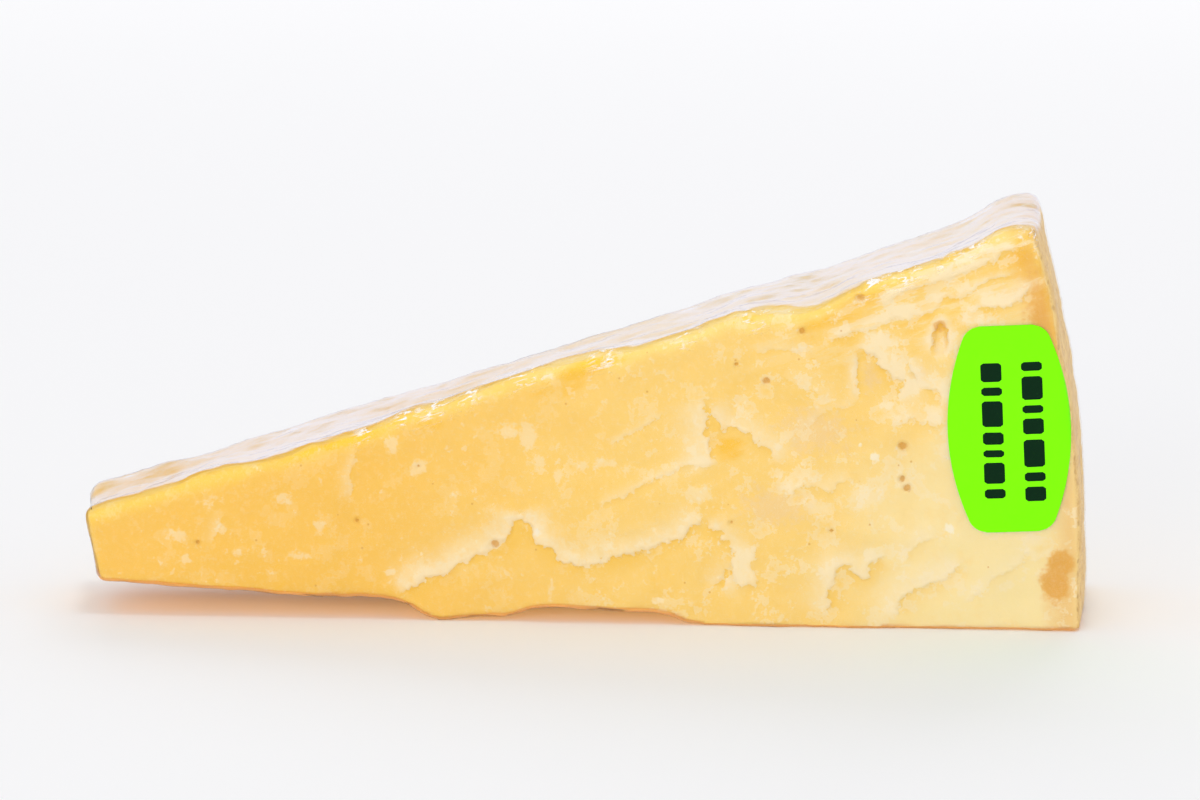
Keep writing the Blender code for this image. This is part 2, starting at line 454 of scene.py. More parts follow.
    def material(self, wheel: "Wheel") -> bpy.types.Material:
        """Builds the cheese's material.

        Args:
            wheel: The wheel that the wedge was cut from, whose rind the ochre follows.

        Returns:
            The finished material.
        """
        nodes = Nodes(bpy.data.materials.new("cheese"))
        at = Surface(nodes)
        skin, under, _ = nodes.attribute("sides")
        rims, foot_tone_and_shade, lip = self.edges(nodes, at)
        dots = self.rind_dots(nodes, at, wheel)
        hide = nodes.blend((at.middle * 0.4 + at.grain * 0.3 + 0.6).held(), self.skin_dark, self.skin)
        hide = nodes.blend(dots * 0.5, hide, self.skin_dark)
        colour = nodes.blend(skin, self.paste(nodes, at, wheel, rims, foot_tone_and_shade), hide)
        # Painted light: where the cheese faces down near the front, it glows with the painted glow colour.
        lit = under.step(0.6, 1.0) * at.across.step(self.painted_glow_from_mm, self.painted_glow_full_mm)
        height = lip * 0.06 + at.grain * 0.015 + at.fine * 0.03 - dots * skin * 0.25
        shader = nodes.add(
            "ShaderNodeBsdfPrincipled",
            {},
            {
                # Painted shade: faces that look down are blended towards the deep orange below colour.
                "Base Color": nodes.blend(under * 0.85, colour, self.below),
                "Roughness": (0.5 + at.grain * 0.06 + skin * 0.12).held(),
                "Specular IOR Level": 0.2,
                # The painted glow under the front of the wedge.
                "Emission Color": nodes.blend(lit, (0.0, 0.0, 0.0), self.glow),
                "Emission Strength": 1.0,
                "Normal": nodes.bump(height, 0.7),
            },
        )
        return nodes.finish(shader)


@dataclass(frozen=True)
class FilmFinish:
    """Thin clear cling film: it only mirrors, and lets the rest through, but shows painted glints as white
    along the ridges of its creases.
    """

    tint: Colour = (0.93, 0.925, 0.965)
    white: Colour = (1.0, 0.99, 0.95)
    roughness: float = 0.07
    index: float = 1.45
    loose_layers: float = 7.0
    clinging: float = 0.8
    haze: float = 0.004
    edge_slope: float = 0.34
    streak_mm: float = 0.016
    ridge_mm: float = 0.12

    def ridges(self, nodes: Nodes, place: Socket) -> Value:
        """Thin broken ridges that run along the upper edge; they lift the film's bump and carry its painted
        glints.

        Args:
            nodes: The material's nodes.
            place: The place on the film, in millimetres.

        Returns:
            1 on a ridge and 0 off it.
        """
        along, across, up = nodes.parts(place)
        lying = nodes.vector(along * 0.22, across * 0.3, up - along * self.edge_slope)
        broken = nodes.noise(place, 2.4, 2.0).step(-0.25, 0.25)
        return (1.0 - abs(nodes.noise(lying, 1.1, 2.0)) * 4.0).held() * broken

    def material(self) -> bpy.types.Material:
        """Builds the film's material: where the film is loose, more of its surfaces mirror.

        Returns:
            The finished material.
        """
        nodes = Nodes(bpy.data.materials.new("film"))
        place = nodes.place_mm()
        slack, tight, wrinkled = nodes.attribute("slack")
        ridges = self.ridges(nodes, place) * wrinkled
        inputs = {0: place, 1: (0.05, 0.5, 0.5)}
        drawn = nodes.add("ShaderNodeVectorMath", {"operation": "MULTIPLY"}, inputs).outputs[0]
        streaks = nodes.noise(drawn, 1.0, 2.0)
        crinkle = nodes.noise(place, 1.2, 2.0) * (slack * 0.012 + tight * 0.03 + 0.002)
        normal = nodes.bump(streaks * slack * self.streak_mm + crinkle + ridges * self.ridge_mm)
        once = nodes.add("ShaderNodeFresnel", {}, {"IOR": self.index, "Normal": normal})
        once = Value(nodes, once.outputs[0])
        more = slack * self.loose_layers * once.step(0.04, 0.3)
        share = once * (more + 1.0) / (once * more + 1.0) * (1.0 - tight * self.clinging)
        clear = nodes.add("ShaderNodeBsdfTransparent").outputs[0]
        inputs = {"Color": self.tint, "Roughness": self.roughness, "Normal": normal}
        gloss = nodes.add("ShaderNodeBsdfGlossy", {}, inputs).outputs[0]
        inputs = {0: (share + self.haze).held(), 1: clear, 2: gloss}
        film = nodes.add("ShaderNodeMixShader", {}, inputs).outputs[0]
        # Painted highlight: a white diffuse surface mixed in along the ridges stands in for glints of light
        # on the creased film.
        white = nodes.add("ShaderNodeBsdfDiffuse", {}, {"Color": self.white}).outputs[0]
        inputs = {0: (ridges * 1.7).held(), 1: film, 2: white}
        return nodes.finish(nodes.add("ShaderNodeMixShader", {}, inputs))


@dataclass(frozen=True)
class PaperFinish:
    """A satin coloured paper or a print on it."""

    name: str
    colour: Colour
    glow: float = 0.0
    shine: float = 0.1
    roughness: float = 0.45

    def material(self) -> bpy.types.Material:
        """Builds the paper's material, with the faint unevenness of a printed sheet.

        Returns:
            The finished material.
        """
        nodes = Nodes(bpy.data.materials.new(self.name))
        place = nodes.place_mm()
        fibre = nodes.noise(place, 0.5, 3.0)
        cloud = nodes.noise(place, 9.0, 2.0)
        shade = tuple(c * 0.9 for c in self.colour)
        colour = nodes.blend((0.2 + cloud * 0.15 + fibre * 0.1).held(), self.colour, shade)
        shader = nodes.add(
            "ShaderNodeBsdfPrincipled",
            {},
            {
                "Base Color": colour,
                "Roughness": (self.roughness + fibre * 0.04).held(),
                "Specular IOR Level": self.shine,
                "Emission Color": colour,
                "Emission Strength": self.glow,
                "Normal": nodes.bump(fibre * 0.02, 0.5),
            },
        )
        return nodes.finish(shader)


# --------------------------------------
# Work on pieces


def only(piece: bpy.types.Object) -> None:
    """Makes one piece the only selected one, and the active one.

    Args:
        piece: The piece.
    """
    bpy.ops.object.select_all(action="DESELECT")
    piece.select_set(True)
    bpy.context.view_layer.objects.active = piece


def apply_modifier(piece: bpy.types.Object, kind: str, **settings: object) -> None:
    """Adds one modifier to a piece and applies it.

    Args:
        piece: The piece.
        kind: The modifier's type.
        **settings: The modifier's own settings.
    """
    only(piece)
    modifier = piece.modifiers.new(kind.lower(), kind)
    for key, value in settings.items():
        setattr(modifier, key, value)
    bpy.ops.object.modifier_apply(modifier=modifier.name)


def split_faces(piece: bpy.types.Object, chosen: Array) -> None:
    """Cuts faces into four.

    Args:
        piece: The piece.
        chosen: For each face, whether it is cut.
    """
    only(piece)
    bpy.ops.object.mode_set(mode="EDIT")
    bpy.ops.mesh.select_mode(type="FACE")
    bpy.ops.mesh.select_all(action="DESELECT")
    bpy.ops.object.mode_set(mode="OBJECT")
    piece.data.polygons.foreach_set("select", chosen)
    bpy.ops.object.mode_set(mode="EDIT")
    bpy.ops.mesh.subdivide(number_cuts=1)
    bpy.ops.object.mode_set(mode="OBJECT")


def points_mm(piece: bpy.types.Object) -> Array:
    """The piece's points, in millimetres, one row each."""
    flat = np.empty(len(piece.data.vertices) * 3, np.float32)
    piece.data.vertices.foreach_get("co", flat)
    return flat.reshape(-1, 3).astype(float) / MM


def normals_of(piece: bpy.types.Object) -> Array:
    """The way each point of the piece faces, one row each."""
    flat = np.empty(len(piece.data.vertices) * 3, np.float32)
    piece.data.vertex_normals.foreach_get("vector", flat)
    return flat.reshape(-1, 3).astype(float)


def set_points_mm(piece: bpy.types.Object, points: Array) -> None:
    """Moves the piece's points, given in millimetres."""
    piece.data.vertices.foreach_set("co", (points * MM).astype(np.float32).ravel())
    piece.data.update()


def keep_values(piece: bpy.types.Object, name: str, columns: Iterable[Array]) -> None:
    """Keeps three numbers for each point of a piece.

    Args:
        piece: The piece.
        name: The name that its material reads them under.
        columns: The first, the second and the third numbers.
    """
    values = np.column_stack(list(columns)).astype(np.float32)
    attribute = piece.data.attributes.new(name, "FLOAT_VECTOR", "POINT")
    attribute.data.foreach_set("vector", values.ravel())


def skin_of(node: str, name: str, cell_mm: float, rounds: int) -> bpy.types.Object:
    """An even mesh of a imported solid, smoothed and then made a little lumpy.

    Args:
        node: The solid's name.
        name: The new piece's name.
        cell_mm: The size of the new mesh's cells.
        rounds: How often the mesh is smoothed.

    Returns:
        The new piece, at the solid's place.
    """
    only(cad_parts[node])
    bpy.ops.object.duplicate()
    piece = bpy.context.active_object
    piece.name = name
    piece.data.name = name
    piece.parent = None
    for key in list(piece.keys()):
        del piece[key]
    bpy.ops.object.mode_set(mode="EDIT")
    bpy.ops.mesh.select_all(action="SELECT")
    bpy.ops.mesh.remove_doubles(threshold=MERGE_MM * MM)
    bpy.ops.object.mode_set(mode="OBJECT")
    apply_modifier(piece, "REMESH", mode="VOXEL", voxel_size=cell_mm * MM, adaptivity=0.0)
    apply_modifier(piece, "SMOOTH", factor=0.5, iterations=rounds)
    points = points_mm(piece)
    lumpy = points + normals_of(piece) * (LUMP_MM * ground(points, LUMP_SIZE_MM, 4, 12.0))[:, None]
    lumpy[:, 2] = np.maximum(lumpy[:, 2], np.minimum(points[:, 2], FLAT_MM))
    set_points_mm(piece, lumpy)
    return piece


@dataclass(frozen=True)
class Finished:
    """A finished piece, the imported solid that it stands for, and the record's slot for its finish."""

    piece: bpy.types.Object
    node: str
    slot: str

    def hand_over(self) -> None:
        """Gives the piece to the frame and reports it."""
        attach(self.piece, BODY)
        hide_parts(self.node)
        triangles = sum(len(face.vertices) - 2 for face in self.piece.data.polygons)
        log.info("%s: %d triangles", self.piece.name, triangles)


def dress(piece: bpy.types.Object, material: bpy.types.Material) -> None:
    """Gives a piece its one material, and shades it smooth.

    Args:
        piece: The piece.
        material: The material.
    """
    piece.data.materials.clear()
    piece.data.materials.append(material)
    piece.data.shade_smooth()


# --------------------------------------
# The cheese


@dataclass(frozen=True)
class Wheel:
    """The wheel that the wedge was cut from, seen from the front."""

    axis_x_mm: float = -126.0
    axis_z_mm: float = 10.0
    radius_mm: float = 216.5

    def depth(self, points: Array) -> Array:
        """How far inside the rind each place is, in millimetres."""
        return self.radius_mm - np.hypot(points[:, 0] - self.axis_x_mm, points[:, 2] - self.axis_z_mm)


@dataclass(frozen=True)
class Break:
    """An edge where a flake broke off the front, from one end to the other with the flake on its left.

    The line's points are across and up the front face, in millimetres.
    """

    line: tuple[tuple[float, float], ...]
    strength: float = 1.0
    reach_mm: float = 3.5
    ragged_mm: float = 1.3
    layer: int = 0

    def field(self, flat: Array) -> tuple[Array, Array]:
        """How the edge lies to each place on the face.

        Args:
            flat: Places across and up the face, in millimetres.

        Returns:
            The distance to the edge, above 0 on the flake, and the edge's strength there.
        """
        line = np.array(self.line, float)
        nearest = np.full(len(flat), np.inf)
        distance = np.zeros(len(flat))
        way = np.zeros(len(flat))
        run = 0.0
        for start, end in zip(line[:-1], line[1:]):
            length = float(np.linalg.norm(end - start))
            unit = (end - start) / length
            offset = flat - start
            ahead = np.clip(offset @ unit, 0.0, length)
            gap = np.linalg.norm(offset - ahead[:, None] * unit, axis=1)
            left = unit[0] * offset[:, 1] - unit[1] * offset[:, 0]
            score = gap - 0.001 * np.abs(left)
            closer = score < nearest
            nearest = np.where(closer, score, nearest)
            distance = np.where(closer, np.copysign(gap, left), distance)
            way = np.where(closer, run + ahead, way)
            run += length
        fade = min(2.5, run / 3)
        ends = ease(np.minimum(way, run - way), 0.0, fade)
        return distance, self.strength * ends * np.exp(-((distance / self.reach_mm) ** 2))


@dataclass(frozen=True)
class Mark:
    """A small round or oval mark on the front, in millimetres, turned to the left by an angle."""

    x: float
    z: float
    half_width: float
    half_height: float = 0.0
    turn_deg: float = 0.0

    def field(self, flat: Array) -> Array:
        """1 at the mark's middle, 0 at its rim and below 0 outside it."""
        tall = self.half_height or self.half_width
        turn = math.radians(self.turn_deg)
        x, z = flat[:, 0] - self.x, flat[:, 1] - self.z
        along, across = x * math.cos(turn) + z * math.sin(turn), z * math.cos(turn) - x * math.sin(turn)
        return 1.0 - np.hypot(along / self.half_width, across / tall)


BREAKS = (
    Break(((-32, 4), (-27, 8), (-24, 8), (-20, 11.5), (-12, 14.5), (-11, 18), (-10, 21)), reach_mm=4.0),
    Break(
        ((-10, 21), (-7.5, 16), (-3, 11.5), (1, 10.5), (6, 11.5), (13, 13.5), (18, 15.5), (23.5, 20)),
        layer=1,
    ),
    Break(((4, 21.5), (8, 23), (14, 26.5), (20, 29.3), (26, 29.3)), 0.7, 1.3, 0.4, layer=2),
    Break(((25.5, 29), (24.2, 31), (23.5, 36), (23, 42)), 0.95, 4.5),
    Break(
        ((23.5, 41), (26.5, 36.3), (30, 35.7), (33, 33.5), (35.3, 32.5), (34.5, 29.5)),
        0.85, 3.0, layer=1,
    ),
    Break(((23, 20), (25, 17), (28, 14), (28.5, 11.5), (25, 6)), 0.9, 3.0),
    Break(((24, 6), (27.5, 9.5), (30, 7.3), (32, 7.5), (32, 12.5), (31, 16)), 0.8, 2.4, layer=2),
    Break(((50.7, 41), (50.2, 46), (50.3, 51)), 1.0, 1.4, 0.4, layer=2),
    Break(
        ((49.5, 50.3), (53.5, 50), (54.5, 48), (56.3, 46.5), (58.5, 44.5), (57.5, 40.5)),
        1.1, 3.0, layer=1,
    ),
    Break(((60.0, 50.5), (59.5, 47), (61.5, 44.5), (64.5, 43.5), (66, 40)), 0.9, 2.2, 0.8),
    Break(((56, 36.5), (60, 38.5), (64, 37.5), (67, 39)), 0.7, 2.2, 0.9, layer=2),
    Break(((63.4, 49.5), (63.6, 53.5), (64.9, 56.3), (66.2, 54.5), (66.6, 50)), 1.1, 1.3, 0.25, layer=2),
    Break(((36, 24), (41, 26), (46, 25), (50, 28)), 0.6, 2.4, 1.0, layer=1),
    Break(
        ((45, 1.5), (46, 5.5), (46.8, 10.6), (48.6, 11), (50.3, 9.5), (52.6, 9.5), (54.5, 12.5), (56, 14)),
    ),
    Break(((57.5, 1.5), (59, 6), (63.3, 7.8), (67, 9.7), (70, 13)), 0.9, 4.0, layer=1),
    Break(((58.5, 11.5), (60, 13.6), (62, 14.5), (62.3, 16), (65.5, 17.5)), 0.7, 3.0, layer=2),
    Break(((69.5, 4), (73, 7.2), (75.4, 9.4), (79, 11.7), (83, 15)), 0.6, 2.2, layer=2),
    Break(((53, 58.5), (59, 61.3), (63, 62.7), (68, 64), (73, 66.5), (79, 70)), 0.8, 1.6, 0.8),
    Break(((57, 64), (62, 66), (67, 67), (72, 69.5)), 0.6, 1.2, 0.8, layer=1),
    Break(((44, 52.5), (51, 54.0), (57, 56.5), (62, 57.0), (66, 60)), 0.7, 1.8, 0.9, layer=2),
    Break(((63, 59.5), (68, 60.5), (72, 63), (78, 64.8)), 0.8, 1.4, 0.9, layer=1),
    Break(((31, 50), (37, 50.8), (43, 50.2)), 0.5, 1.4, 0.7),
    Break(((70, 57.5), (73.3, 58.6), (76.5, 58.8), (79, 60.0), (81.5, 64)), 0.9, 2.6, 0.7, layer=2),
    Break(((-66, 12.5), (-64.4, 16.6), (-63, 20)), 0.45, 1.8, 0.6),
    Break(((-40, 21), (-40.7, 26), (-39, 32)), 0.55, 1.6, 0.6),
    Break(((5.5, 32.5), (11.6, 35.7), (16.5, 39)), 0.6, 0.9, 0.4),
    Break(((36, 46), (42, 43), (47, 41)), 0.35, 3.0, layer=2),
    Break(((40, 36), (46, 40), (51, 41)), 0.4, 1.6, 0.5),
)

BACK_BREAKS = (
    Break(((-62, 7), (-52, 12), (-44, 11), (-37, 15), (-30, 21), (-26, 29)), 1.0, 4.0),
    Break(((-20, 42), (-12, 33), (-6, 31), (2, 26), (6, 18), (13, 13)), 0.9, 4.0, layer=1),
    Break(((14, 12), (22, 17), (28, 25), (36, 28), (44, 36), (51, 38)), 1.0, 3.6),
    Break(((52, 6), (56, 14), (64, 17), (68, 25), (76, 29), (81, 40)), 1.0, 4.0, layer=1),
    Break(((28, 54), (38, 48), (47, 50), (56, 56), (68, 59)), 0.9, 3.0, layer=2),
    Break(((-82, 21), (-72, 17), (-60, 20)), 0.6, 2.0, layer=2),
    Break(((58, 43), (66, 48), (72, 47), (79, 55)), 0.7, 2.6),
    Break(((18, 3), (27, 7), (35, 6), (44, 11)), 0.8, 2.4, layer=2),
    Break(((-13, 6), (-2, 13), (6, 8)), 0.7, 2.6, layer=2),
)

BACK_EYES = (
    Mark(-50, 19, 0.6),
    Mark(-8, 21, 0.8),
    Mark(24, 38, 0.9),
    Mark(41, 20, 0.7),
    Mark(61, 33, 0.9),
    Mark(70, 11, 0.6),
)

EYES = (
    Mark(34.1, 44.8, 0.75),
    Mark(28.9, 47.8, 0.5),
    Mark(40.5, 54.1, 0.7),
    Mark(50.7, 60.2, 1.1, 0.8),
    Mark(58.6, 33.4, 0.95),
    Mark(58.5, 27.4, 0.7),
    Mark(59.4, 25.8, 0.85),
    Mark(45.9, 17.9, 0.5, 0.35),
    Mark(28.0, 19.0, 0.45),
    Mark(-14.5, 14.3, 0.85),
    Mark(-39.5, 18.1, 0.5),
    Mark(-68.4, 13.7, 0.5),
    Mark(-28.3, 28.4, 0.35),
)

HOLLOW = Mark(65.0, 52.5, 1.3, 3.4)

BLOTCHES = (
    Mark(-33.0, 32.5, 1.6, 2.3),
    Mark(-28.3, 28.0, 2.0, 1.7),
    Mark(-12.5, 35.0, 2.4, 1.8),
    Mark(-8.5, 34.5, 1.8, 3.2),
    Mark(-6.5, 29.5, 1.6, 1.6),
    Mark(1.5, 29.0, 1.6, 1.2),
    Mark(5.0, 29.5, 2.6, 0.9),
    Mark(9.0, 28.0, 1.0, 1.7),
    Mark(-3.0, 27.0, 1.2, 1.4),
    Mark(-21.8, 23.3, 1.0),
    Mark(36.0, 28.5, 1.5, 1.2),
    Mark(59.5, 44.0, 2.6, 2.2),
    Mark(63.5, 40.0, 2.4, 2.0),
    Mark(56.0, 41.0, 2.0, 1.2),
    Mark(70.8, 57.0, 3.4, 2.4),
    Mark(74.0, 60.0, 3.4, 1.6),
    Mark(65.2, 50.4, 1.5, 2.4),
    Mark(54.5, 52.5, 3.5, 2.2),
    Mark(44.0, 41.5, 2.4, 1.2, 20.0),
    Mark(67.0, 34.0, 3.0, 4.5),
    Mark(52.0, 24.0, 4.5, 3.0),
    Mark(-61.0, 12.0, 1.2),
    Mark(-72.0, 14.5, 2.2, 1.8),
    Mark(-66.5, 21.0, 2.6, 1.2, 20.0),
    Mark(-53.0, 22.0, 2.2, 1.4),
    Mark(-46.0, 17.0, 1.6, 2.2),
    Mark(-50.0, 11.6, 2.4, 1.0),
    Mark(-70.5, 10.5, 1.2),
    Mark(-58.0, 17.6, 1.6, 1.0),
    Mark(-64.0, 16.5, 1.4, 1.6),
    Mark(-33.0, 9.0, 1.4, 0.8),
    Mark(22.0, 24.0, 3.0, 2.0),
    Mark(6.0, 4.0, 1.0, 0.8),
    Mark(14.5, 4.3, 1.8, 0.9),
    Mark(44.0, 22.0, 4.0, 2.2),
    Mark(-4.5, 6.5, 0.7, 2.6),
)

DEEPS = (
    Mark(1.5, 46.0, 12.0, 3.6, 35.0),
    Mark(27.5, 32.8, 3.4, 2.8),
    Mark(79.5, 68.0, 3.4, 3.8),
    Mark(33.0, 58.0, 9.0, 2.4, 15.0),
    Mark(-40.0, 34.0, 14.0, 2.6, 22.0),
    Mark(56.0, 61.5, 14.0, 2.4, 19.0),
    Mark(46.0, 56.0, 9.0, 1.8, 12.0),
    Mark(-26.0, 36.3, 3.0, 1.6, 15.0),
)

PINKS = (
    Mark(52.8, 46.0, 2.2, 3.8),
    Mark(61.0, 46.0, 2.3, 3.2),
    Mark(78.0, 61.0, 3.2, 2.0),
    Mark(43.0, 36.0, 9.0, 6.0),
    Mark(36.0, 22.0, 9.0, 5.0),
)

OCHRES = (
    Mark(85.8, 8.6, 3.2, 4.6, 8.0),
    Mark(87.0, 12.4, 3.0, 3.4),
    Mark(88.0, 57.0, 9.5, 16.0),
    Mark(64.9, 55.2, 1.5, 1.3),
)

CRYSTALS = (Mark(53.6, 31.3, 1.0, 1.3), Mark(67.0, 18.4, 1.0), Mark(-6.9, 16.6, 0.8), Mark(51.0, 33.5, 0.5))


@dataclass(frozen=True)
class Cheese:
    """The cheese under the film: paste with broken faces, and its rind."""

    wheel: Wheel
    finish: CheeseFinish
    cell_mm: float = 0.66
    gap_mm: float = 0.28
    lip_mm: float = 0.08
    step_width_mm: float = 0.4
    drops_mm: tuple[float, float, float] = (0.28, 0.28, 0.22)
    broken_mm: float = 0.35
    pit_mm: float = 0.6
    hollow_mm: float = 0.9
    grain_mm: float = 0.05
    least_mm: float = 0.12

    def fields(self, points: Array, normals: Array) -> dict[str, Array]:
        """Works out what shows at each place of the cheese.

        Args:
            points: The places, in millimetres.
            normals: The way that each place faces.

        Returns:
            Under each name three numbers for each place: the distances to broken edges, the strengths of
            those edges, the marks, the tints, and the shares of rind, underside and front.
        """
        count = len(points)
        cut, amount = np.zeros((count, 3)), np.zeros((count, 3))
        marks, tints = np.full((count, 3), -1.0), np.full((count, 3), -1.0)
        sides = (
            (-1.0, BREAKS, (EYES, BLOTCHES, CRYSTALS), (DEEPS, PINKS, OCHRES)),
            (1.0, BACK_BREAKS, (BACK_EYES, (), ()), ((), (), ())),
        )
        for way, breaks, mark_groups, tint_groups in sides:
            facing = ease(way * normals[:, 1], 0.35, 0.8)
            rows = np.flatnonzero(facing)
            flat = points[rows][:, [0, 2]]
            rag = ground(points[rows], 2.6, 4, 3.1)
            for edge in breaks:
                distance, strength = edge.field(flat)
                strength *= facing[rows]
                stronger = strength > amount[rows, edge.layer]
                cut[rows[stronger], edge.layer] = (distance + rag * edge.ragged_mm)[stronger]
                amount[rows[stronger], edge.layer] = strength[stronger]
            away = 2.0 * (facing[rows] - 1.0)
            for values, groups in ((marks, mark_groups), (tints, tint_groups)):
                for column, group in enumerate(groups):
                    fields = [mark.field(flat) for mark in group] or [np.full(len(rows), -1.0)]
                    values[rows, column] = np.clip(np.max(fields, axis=0), -1.0, 1.0) + away

        outward = np.column_stack([points[:, 0] - self.wheel.axis_x_mm, points[:, 2] - self.wheel.axis_z_mm])
        outward /= np.linalg.norm(outward, axis=1)[:, None]
        facing = outward[:, 0] * normals[:, 0] + outward[:, 1] * normals[:, 2]
        skin = ease(facing, 0.55, 0.85) * ease(self.wheel.depth(points), 4.0, 2.0)
        under = ease(-normals[:, 2], 0.3, 0.8)
        return {
            "cut": cut,
            "amount": amount,
            "marks": marks,
            "tints": tints,
            "sides": np.column_stack([skin, under, ease(-normals[:, 1], 0.35, 0.8)]),
        }

    def relief(self, points: Array, fields: Mapping[str, Array]) -> Array:
        """How the cheese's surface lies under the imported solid's.

        Args:
            points: The places, in millimetres.
            fields: What shows at each place.

        Returns:
            How far each place lies inside the solid's surface, in millimetres.
        """
        edge = ease(fields["cut"], -self.step_width_mm, self.step_width_mm)
        drops = np.array(self.drops_mm)
        steps = (fields["amount"] * (edge * self.lip_mm - (1.0 - edge) * drops)).sum(axis=1)
        skin, _, front = fields["sides"].T
        broken = self.broken_mm * (ground(points, 7.0, 5, 8.0) - 0.5) * (1.0 - front) * (1.0 - skin)
        pits = self.pit_mm * ease(fields["marks"][:, 0], -0.2, 0.6)
        hollow = self.hollow_mm * ease(HOLLOW.field(points[:, [0, 2]]), -0.1, 0.6) * (points[:, 1] < 0.0)
        grain = self.grain_mm * ground(points, 1.3, 2, 1.0) * (1.0 + skin)
        return np.maximum(self.gap_mm - steps - broken + pits + hollow - grain, self.least_mm)

    def build(self) -> Finished:
        """Models and dresses the cheese.

        Returns:
            The finished cheese.
        """
        piece = skin_of("parmesan_chunk", "cheese", self.cell_mm, 6)
        fields = self.fields(points_mm(piece), normals_of(piece))
        near = (np.abs(fields["cut"]) < 0.9) & (fields["amount"] > 0.15)
        detailed = near.any(axis=1) | (fields["marks"][:, 0] > -0.6) | (fields["marks"][:, 2] > -0.3)
        faces = np.array([detailed[list(face.vertices)].any() for face in piece.data.polygons])
        split_faces(piece, faces)

        points, normals = points_mm(piece), normals_of(piece)
        fields = self.fields(points, normals)
        for name, values in fields.items():
            keep_values(piece, name, values.T)
        set_points_mm(piece, points - normals * self.relief(points, fields)[:, None])
        dress(piece, self.finish.material(self.wheel))
        return Finished(piece, "parmesan_chunk", "cheese")


# --------------------------------------
# The film


@dataclass(frozen=True)
class Film:
    """Cling film drawn over the whole cheese, with creases where it turns over the upper front edge.

    glints_mm says where the creases gather along that edge, and how far each spot reaches. pockets_mm says
    where the film clings to the top: the place along it, half the length, and how far in from the edge.
    """

    wheel: Wheel
    finish: FilmFinish
    cell_mm: float = 0.8
    crease_mm: float = 0.5
    streak_mm: float = 0.07
    front_mm: float = -19.4
    edge_reach_mm: float = 4.5
    glints_mm: tuple[tuple[float, float], ...] = (
        (-37.0, 2.2),
        (-30.5, 1.6),
        (-25.0, 2.6),
        (-18.5, 1.8),
        (-8.5, 3.4),
        (5.0, 2.0),
        (20.0, 1.6),
        (32.0, 1.8),
        (52.5, 1.6),
        (58.5, 3.4),
        (66.5, 2.2),
        (71.0, 1.4),
        (81.0, 1.8),
    )
    pockets_mm: tuple[tuple[float, float, float], ...] = (
        (-5.0, 10.0, 11.0),
        (-27.0, 5.0, 5.0),
        (35.0, 7.0, 4.0),
    )

    def edge_gap(self, points: Array) -> Array:
        """Finds the upper front edge from the points near the front.

        Args:
            points: The places, in millimetres.

        Returns:
            How far each place is from the edge, in millimetres.
        """
        stations = np.arange(-92.0, 93.0, 2.0)
        near_front = points[points[:, 1] < self.front_mm + 4.0]
        tops = [near_front[np.abs(near_front[:, 0] - x) < 2.5, 2].max(initial=0.0) for x in stations]
        below = np.interp(points[:, 0], stations, tops) - points[:, 2]
        return np.hypot(np.maximum(below, 0.0), np.maximum(points[:, 1] - self.front_mm, 0.0))

    def wrinkled(self, points: Array) -> Array:
        """How wrinkled the film is at each place: 1 in the middle of a spot on the edge."""
        spots = sum(np.exp(-(((points[:, 0] - x) / width) ** 2)) for x, width in self.glints_mm)
        return np.clip(spots, 0.0, 1.0) * ease(self.edge_gap(points), 5.0, 0.8)

    def slack(self, points: Array, normals: Array) -> tuple[Array, Array]:
        """How the film lies at each place.

        Args:
            points: The places, in millimetres.
            normals: The way that each place faces.

        Returns:
            How loose the film is, and how closely it clings to the cheese so that it hardly mirrors.
        """
        top = ease(normals[:, 2], 0.25, 0.7)
        patches = ease(ground(points * np.array([0.4, 1.0, 1.0]), 13.0, 4, 4.0), -0.4, 0.3)
        from_tip = 0.35 + 0.65 * ease(points[:, 0], -80.0, -45.0)
        from_rind = 1.0 - 0.45 * ease(points[:, 0], 62.0, 80.0)
        gap = self.edge_gap(points) + (1.2 + 3.0 * top) * ground(points, 6.0, 4, 9.0)
        for x, width, reach in self.pockets_mm:
            gap -= reach * np.exp(-(((points[:, 0] - x) / width) ** 2)) * top
        loose = ease(gap, 1.5, 4.5)
        rind = ease(self.wheel.depth(points), 1.6, 0.6) * (1.0 - ease(normals[:, 2], 0.3, 0.7))
        return top * (0.2 + 0.8 * patches) * from_tip * from_rind * loose, np.maximum(rind, 1.0 - loose)

    def creases(self, points: Array, normals: Array) -> Array:
        """Sharp creases across the upper front edge, and fine lines along the top.

        Args:
            points: The places, in millimetres.
            normals: The way that each place faces.

        Returns:
            How far the film is lifted at each place, in millimetres.
        """
        skewed = points.copy()
        skewed[:, 0] += 1.2 * points[:, 2]
        folds = 1.0 - 2.0 * np.abs(ground(skewed * np.array([1.0, 0.3, 0.35]), 2.6, 2, 6.0))
        sharp = np.clip(folds, 0.0, 1.0) ** 3 * self.wrinkled(points)
        top = ease(normals[:, 2], 0.4, 0.8)
        lines = 1.0 - 2.0 * np.abs(ground(points * np.array([0.08, 1.0, 0.3]), 3.4, 3, 7.0))
        return self.crease_mm * sharp + self.streak_mm * np.clip(lines, 0.0, 1.0) ** 4 * top

    def build(self) -> Finished:
        """Models and dresses the film.

        Returns:
            The finished film.
        """
        piece = skin_of("parmesan_chunk", "film", self.cell_mm, 8)
        edge = self.edge_gap(points_mm(piece)) < self.edge_reach_mm
        faces = np.array([edge[list(face.vertices)].any() for face in piece.data.polygons])
        split_faces(piece, faces)
        points, normals = points_mm(piece), normals_of(piece)
        keep_values(piece, "slack", [*self.slack(points, normals), self.wrinkled(points)])
        set_points_mm(piece, points + normals * self.creases(points, normals)[:, None])
        dress(piece, self.finish.material())
        piece.visible_shadow = False
        return Finished(piece, "parmesan_chunk", "film")


# --------------------------------------
# The label


